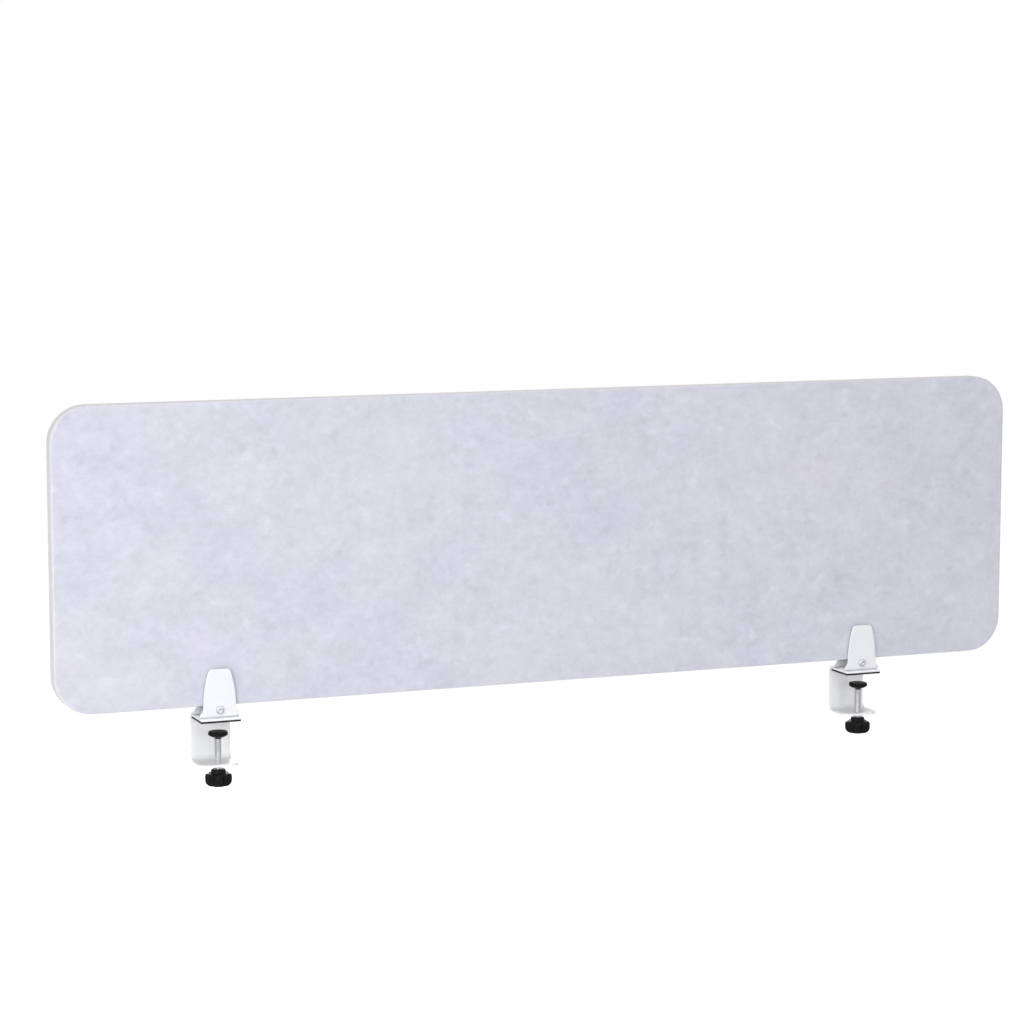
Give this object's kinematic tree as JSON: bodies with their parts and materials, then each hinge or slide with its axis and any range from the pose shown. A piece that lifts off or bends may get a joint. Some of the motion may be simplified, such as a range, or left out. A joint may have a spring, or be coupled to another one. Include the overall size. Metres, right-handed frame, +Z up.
{
  "type": "desk divider screen",
  "caption": "Felt acoustic desk divider with rounded corners, gripped along its lower edge by white steel C-clamps with adjustable jaws, star-knob clamp screws and swivel pads.",
  "frame": {"origin": "the middle of the panel's length and thickness, at the height of the desk top, which is the underside of the clamps' foam pads", "axes": "+X along the panel to the right of a person who faces it, +Y away from that person, +Z up"},
  "size_m": [1.4, 0.0554, 0.5075],
  "materials": {
    "felt": "pressed felt, pale lavender grey with light and dark flecks",
    "white_steel": "white powder coat, fine texture, satin",
    "bright_steel": "zinc plated, bright",
    "black_plastic": "moulded, fine matte",
    "black_rubber": "matte foam rubber"
  },
  "bodies": {
    "panel": {"felt_panel": "felt"},
    "left_clamp": {"left_clamp_frame": "white_steel", "left_desk_pad": "black_rubber", "left_rear_jaw": "white_steel", "left_rear_liner": "black_rubber", "left_jaw_rivets": "bright_steel", "left_guide_screws": "bright_steel", "left_pinch_nut": "bright_steel"},
    "left_front_jaw": {"left_front_jaw": "white_steel", "left_front_liner": "black_rubber"},
    "left_pinch_bolt": {"left_pinch_bolt": "bright_steel"},
    "left_swivel_pad": {"left_swivel_pad": "black_plastic"},
    "left_clamp_screw": {"left_clamp_screw": "bright_steel", "left_knob": "black_plastic"},
    "right_clamp": {"right_clamp_frame": "white_steel", "right_desk_pad": "black_rubber", "right_rear_jaw": "white_steel", "right_rear_liner": "black_rubber", "right_jaw_rivets": "bright_steel", "right_guide_screws": "bright_steel", "right_pinch_nut": "bright_steel"},
    "right_front_jaw": {"right_front_jaw": "white_steel", "right_front_liner": "black_rubber"},
    "right_pinch_bolt": {"right_pinch_bolt": "bright_steel"},
    "right_swivel_pad": {"right_swivel_pad": "black_plastic"},
    "right_clamp_screw": {"right_clamp_screw": "bright_steel", "right_knob": "black_plastic"}
  },
  "joints": [
    {"name": "left_clamp_slide", "type": "slide", "parent": "panel", "child": "left_clamp", "axis": [1, 0, 0], "range_m": [-0.139, 0.34]},
    {"name": "left_pinch_turn", "type": "hinge", "parent": "left_front_jaw", "child": "left_pinch_bolt", "pos_m": [-0.482, 0, 0.016], "axis": [0, -1, 0], "range_deg": [0, 1440.1]},
    {"name": "left_jaw_slide", "type": "slide", "parent": "left_clamp", "child": "left_front_jaw", "axis": [0, -1, 0], "range_m": [0, 0.004]},
    {"name": "left_screw_turn", "type": "hinge", "parent": "left_swivel_pad", "child": "left_clamp_screw", "pos_m": [-0.482, -0.006, -0.04], "axis": [0, 0, 1], "range_deg": [-7200.1, 360.1]},
    {"name": "left_pad_lift", "type": "slide", "parent": "left_clamp", "child": "left_swivel_pad", "axis": [0, 0, 1], "range_m": [-0.03, 0.0015]},
    {"name": "right_clamp_slide", "type": "slide", "parent": "panel", "child": "right_clamp", "axis": [-1, 0, 0], "range_m": [-0.15, 0.329]},
    {"name": "right_pinch_turn", "type": "hinge", "parent": "right_front_jaw", "child": "right_pinch_bolt", "pos_m": [0.471, 0, 0.016], "axis": [0, -1, 0], "range_deg": [0, 1440.1]},
    {"name": "right_jaw_slide", "type": "slide", "parent": "right_clamp", "child": "right_front_jaw", "axis": [0, -1, 0], "range_m": [0, 0.004]},
    {"name": "right_screw_turn", "type": "hinge", "parent": "right_swivel_pad", "child": "right_clamp_screw", "pos_m": [0.471, -0.006, -0.04], "axis": [0, 0, 1], "range_deg": [-7200.1, 360.1]},
    {"name": "right_pad_lift", "type": "slide", "parent": "right_clamp", "child": "right_swivel_pad", "axis": [0, 0, 1], "range_m": [-0.03, 0.0015]}
  ],
  "couplings": [
    {"joint": "left_pinch_turn", "follows": "left_jaw_slide", "rad_per_m": 6283.2},
    {"joint": "left_screw_turn", "follows": "left_pad_lift", "rad_per_m": 4188.8},
    {"joint": "right_pinch_turn", "follows": "right_jaw_slide", "rad_per_m": 6283.2},
    {"joint": "right_screw_turn", "follows": "right_pad_lift", "rad_per_m": 4188.8}
  ]
}
